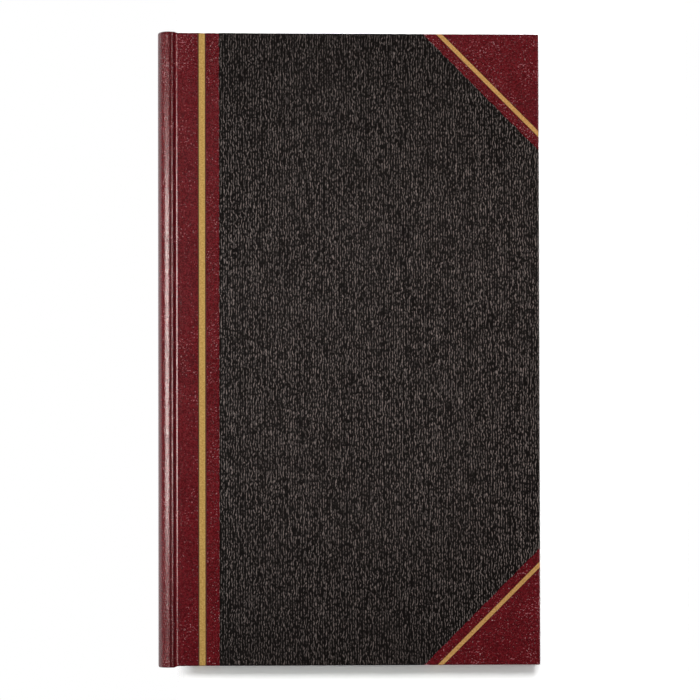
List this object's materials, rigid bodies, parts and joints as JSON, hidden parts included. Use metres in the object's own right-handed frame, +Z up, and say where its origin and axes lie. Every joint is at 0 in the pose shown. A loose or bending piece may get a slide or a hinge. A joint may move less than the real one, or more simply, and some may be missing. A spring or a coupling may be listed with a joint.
{
  "type": "record book",
  "caption": "Casebound record book with a round leather spine, grained cloth sides, leather corners and gold rules, sewn in sections, with covers that open on grooved joints.",
  "frame": {"origin": "on the surface that the closed book lies on, under the middle of its bounding box", "axes": "+Z up through the closed book, +Y towards its head, +X towards its fore-edge, spine on the -X side"},
  "size_m": [0.2184, 0.3638, 0.0241],
  "materials": {
    "burgundy_leather": "smooth imitation leather with a fine grain, satin",
    "black_siding": "deeply wrinkled black leathercloth, satin",
    "gold_foil": "hot-stamped foil, satin",
    "grey_board": "raw millboard",
    "endpaper": "plain off-white endpaper, matt",
    "pages": "ruled writing paper, matt",
    "kraft_paper": "kraft lining paper, matt",
    "mull": "open-weave starched gauze",
    "linen_tape": "woven linen tape",
    "thread": "waxed linen thread",
    "band_silk": "woven in two colours over a cord"
  },
  "bodies": {
    "block": {"signature_01_fold": "pages", "signature_02_fold": "pages", "signature_03": "pages", "signature_04": "pages", "signature_05": "pages", "signature_06": "pages", "signature_07": "pages", "signature_08": "pages", "signature_09": "pages", "signature_10": "pages", "signature_11": "pages", "signature_12": "pages", "signature_13": "pages", "signature_14": "pages", "signature_15_fold": "pages", "front_endpaper_strip": "endpaper", "back_endpaper_strip": "endpaper", "sewing_tape_1": "linen_tape", "sewing_tape_2": "linen_tape", "sewing_tape_3": "linen_tape", "sewing_tape_4": "linen_tape", "sewing_tape_5": "linen_tape", "head_kettle_stitch": "thread", "tail_kettle_stitch": "thread", "head_band": "band_silk", "tail_band": "band_silk", "spine_mull": "mull", "spine_lining": "kraft_paper", "spine_inlay": "grey_board", "spine_leather": "burgundy_leather"},
    "front_cover": {"front_board": "grey_board", "front_spine_flange": "burgundy_leather", "front_siding": "black_siding", "front_head_corner": "burgundy_leather", "front_tail_corner": "burgundy_leather", "front_spine_rule": "gold_foil", "front_head_corner_rule": "gold_foil", "front_tail_corner_rule": "gold_foil", "front_mull_wing": "mull", "front_pastedown": "endpaper"},
    "back_cover": {"back_board": "grey_board", "back_spine_flange": "burgundy_leather", "back_siding": "black_siding", "back_head_corner": "burgundy_leather", "back_tail_corner": "burgundy_leather", "back_spine_rule": "gold_foil", "back_head_corner_rule": "gold_foil", "back_tail_corner_rule": "gold_foil", "back_mull_wing": "mull", "back_pastedown": "endpaper"},
    "front_flyleaf": {"front_flyleaf": "endpaper"},
    "first_leaves": {"signature_01_leaves": "pages"},
    "second_leaves": {"signature_02_leaves": "pages"},
    "back_flyleaf": {"back_flyleaf": "endpaper"},
    "last_leaves": {"signature_15_leaves": "pages"}
  },
  "joints": [
    {"name": "front_cover_hinge", "type": "hinge", "parent": "block", "child": "front_cover", "pos_m": [-0.1004, 0, 0.0241], "axis": [0, -1, 0], "range_deg": [0, 179]},
    {"name": "front_flyleaf_turn", "type": "hinge", "parent": "block", "child": "front_flyleaf", "pos_m": [-0.1004, 0, 0.0241], "axis": [0, -1, 0], "range_deg": [0, 179]},
    {"name": "first_leaves_turn", "type": "hinge", "parent": "block", "child": "first_leaves", "pos_m": [-0.1004, 0, 0.0241], "axis": [0, -1, 0], "range_deg": [0, 179]},
    {"name": "second_leaves_turn", "type": "hinge", "parent": "block", "child": "second_leaves", "pos_m": [-0.1004, 0, 0.0241], "axis": [0, -1, 0], "range_deg": [0, 179]},
    {"name": "back_cover_hinge", "type": "hinge", "parent": "block", "child": "back_cover", "pos_m": [-0.1004, 0, 0], "axis": [0, -1, 0], "range_deg": [-179, 0]},
    {"name": "back_flyleaf_turn", "type": "hinge", "parent": "block", "child": "back_flyleaf", "pos_m": [-0.1004, 0, 0], "axis": [0, -1, 0], "range_deg": [-179, 0]},
    {"name": "last_leaves_turn", "type": "hinge", "parent": "block", "child": "last_leaves", "pos_m": [-0.1004, 0, 0], "axis": [0, -1, 0], "range_deg": [-179, 0]}
  ],
  "couplings": [
    {"joint": "front_flyleaf_turn", "follows": "front_cover_hinge", "ratio": 0.99},
    {"joint": "first_leaves_turn", "follows": "front_cover_hinge", "ratio": 0.97},
    {"joint": "second_leaves_turn", "follows": "front_cover_hinge", "ratio": 0.94},
    {"joint": "back_flyleaf_turn", "follows": "back_cover_hinge", "ratio": 0.99},
    {"joint": "last_leaves_turn", "follows": "back_cover_hinge", "ratio": 0.97}
  ]
}
